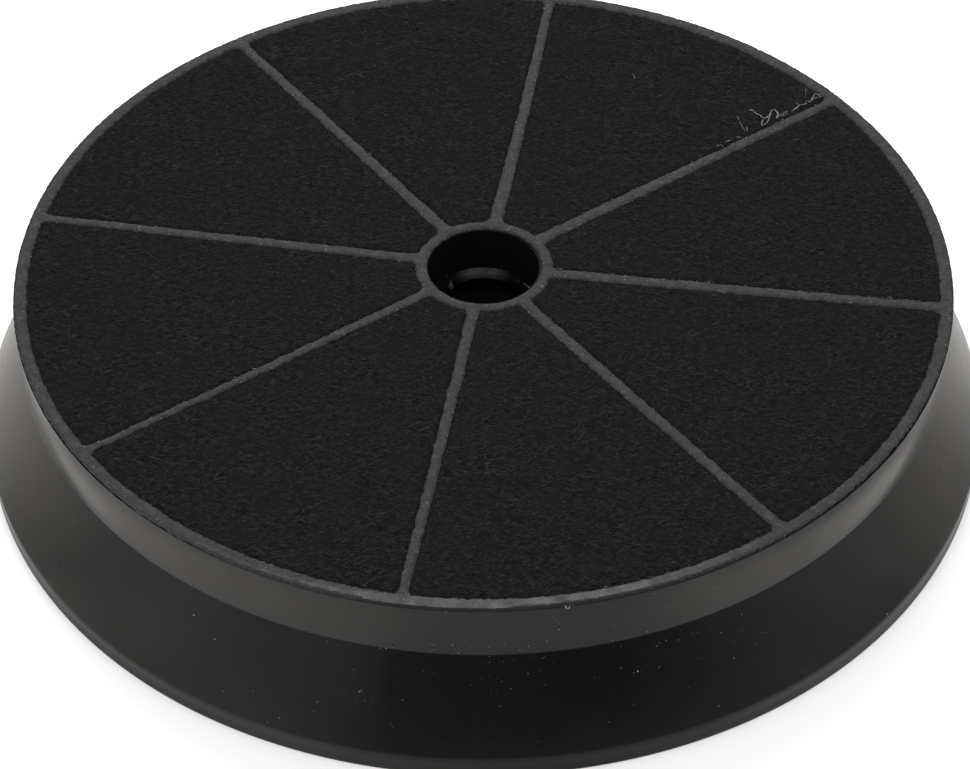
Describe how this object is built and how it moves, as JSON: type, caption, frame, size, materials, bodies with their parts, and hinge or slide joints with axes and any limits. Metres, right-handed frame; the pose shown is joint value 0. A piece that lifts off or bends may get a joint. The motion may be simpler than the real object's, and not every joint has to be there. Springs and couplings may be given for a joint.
{
  "type": "cooker hood carbon filter",
  "caption": "Round plastic cooker hood filter with a flared open skirt, a bayonet hub and a fleece face welded to radial ribs over carbon granules.",
  "frame": {"origin": "middle of the foot ring, on the surface that the filter stands on", "axes": "+Z along the hub's axis from the open skirt to the welded fleece face; +X through a rib and the middle of a bayonet notch"},
  "size_m": [0.21, 0.21, 0.0368],
  "materials": {
    "housing_plastic": "black injection-moulded plastic with a satin to glossy skin",
    "melted_plastic": "dark grey plastic, melted and rough",
    "fleece": "black needled polyester felt",
    "grille_plastic": "black moulded plastic",
    "carbon": "black activated carbon granules"
  },
  "bodies": {
    "root": {"housing": "housing_plastic", "weld_seam": "melted_plastic", "upper_fleece": "fleece", "lower_fleece": "fleece", "base_grille": "grille_plastic", "carbon_charge_1": "carbon", "carbon_charge_2": "carbon", "carbon_charge_3": "carbon", "carbon_charge_4": "carbon", "carbon_charge_5": "carbon", "carbon_charge_6": "carbon", "carbon_charge_7": "carbon", "carbon_charge_8": "carbon"}
  },
  "joints": []
}
